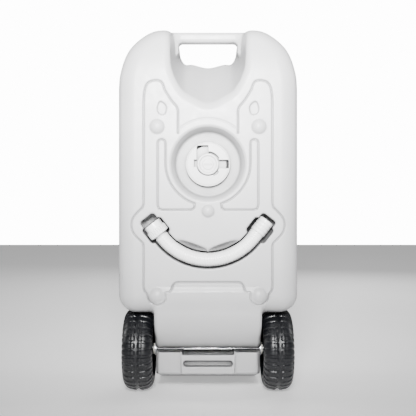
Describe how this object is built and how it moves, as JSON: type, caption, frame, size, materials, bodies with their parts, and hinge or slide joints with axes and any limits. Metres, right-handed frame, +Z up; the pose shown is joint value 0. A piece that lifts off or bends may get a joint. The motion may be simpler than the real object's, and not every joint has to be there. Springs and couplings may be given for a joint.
{
  "type": "portable waste tote",
  "caption": "Upright blow-moulded waste-water tank on two wheels, with a grip bar, a round filler cap and drain plug, and a drain hose stowed in a curved trench.",
  "frame": {"origin": "on the ground, under the middle of the part's bounding box, as it stands upright on its wheels and rear foot", "axes": "+Z up, -Y out of the face with the cap and the hose, +X to the right of someone who looks at that face, along the axle"},
  "size_m": [0.395, 0.23, 0.824],
  "materials": {
    "shell": "satin light grey HDPE with a fine moulded texture",
    "cap": "satin light grey",
    "seal_rubber": "matt black",
    "hose": "white flexible PVC",
    "hose_fitting": "white moulded plastic",
    "wheel_plastic": "glossy near-black moulded plastic",
    "zinc": "bright zinc plate",
    "axle_steel": "bright drawn steel",
    "bush_plastic": "natural nylon"
  },
  "bodies": {
    "tank": {"tank_shell": "shell", "axle": "axle_steel", "inner_washer_left": "zinc", "inner_washer_right": "zinc", "outer_washer_left": "zinc", "outer_washer_right": "zinc", "push_nut_left": "zinc", "push_nut_right": "zinc"},
    "wheel_left": {"wheel_left": "wheel_plastic", "bush_inner_left": "bush_plastic", "bush_outer_left": "bush_plastic", "hub_cap_left": "wheel_plastic"},
    "wheel_right": {"wheel_right": "wheel_plastic", "bush_inner_right": "bush_plastic", "bush_outer_right": "bush_plastic", "hub_cap_right": "wheel_plastic"},
    "cap_seal": {"filler_cap_seal": "seal_rubber"},
    "cap": {"filler_cap": "cap"},
    "plug_seal": {"drain_plug_seal": "seal_rubber"},
    "plug": {"drain_plug": "cap"},
    "hose": {"drain_hose": "hose", "hose_tail": "hose_fitting", "hose_cuff": "hose_fitting"},
    "nut": {"hose_nut": "hose_fitting", "hose_washer": "seal_rubber"}
  },
  "joints": [
    {"name": "wheel_left_spin", "type": "hinge", "parent": "tank", "child": "wheel_left", "pos_m": [-0.155, -0.023, 0.092], "axis": [1, 0, 0], "continuous": true},
    {"name": "wheel_right_spin", "type": "hinge", "parent": "tank", "child": "wheel_right", "pos_m": [0.155, -0.023, 0.092], "axis": [1, 0, 0], "continuous": true},
    {"name": "filler_cap_lift", "type": "slide", "parent": "tank", "child": "cap_seal", "axis": [0, -1, 0], "range_m": [0, 0.06]},
    {"name": "filler_cap_turn", "type": "hinge", "parent": "cap_seal", "child": "cap", "pos_m": [0, -0.08, 0.508], "axis": [0, -1, 0], "range_deg": [0, 450]},
    {"name": "drain_plug_lift", "type": "slide", "parent": "cap", "child": "plug_seal", "axis": [0, -1, 0], "range_m": [0, 0.04]},
    {"name": "drain_plug_turn", "type": "hinge", "parent": "plug_seal", "child": "plug", "pos_m": [0, -0.08, 0.508], "axis": [0, -1, 0], "range_deg": [0, 90]},
    {"name": "hose_lift", "type": "slide", "parent": "tank", "child": "hose", "axis": [0, -1, 0], "range_m": [0, 0.08]},
    {"name": "hose_nut_spin", "type": "hinge", "parent": "hose", "child": "nut", "pos_m": [-0.1116, -0.088, 0.36319], "axis": [-0.6157, 0, 0.788], "continuous": true}
  ]
}
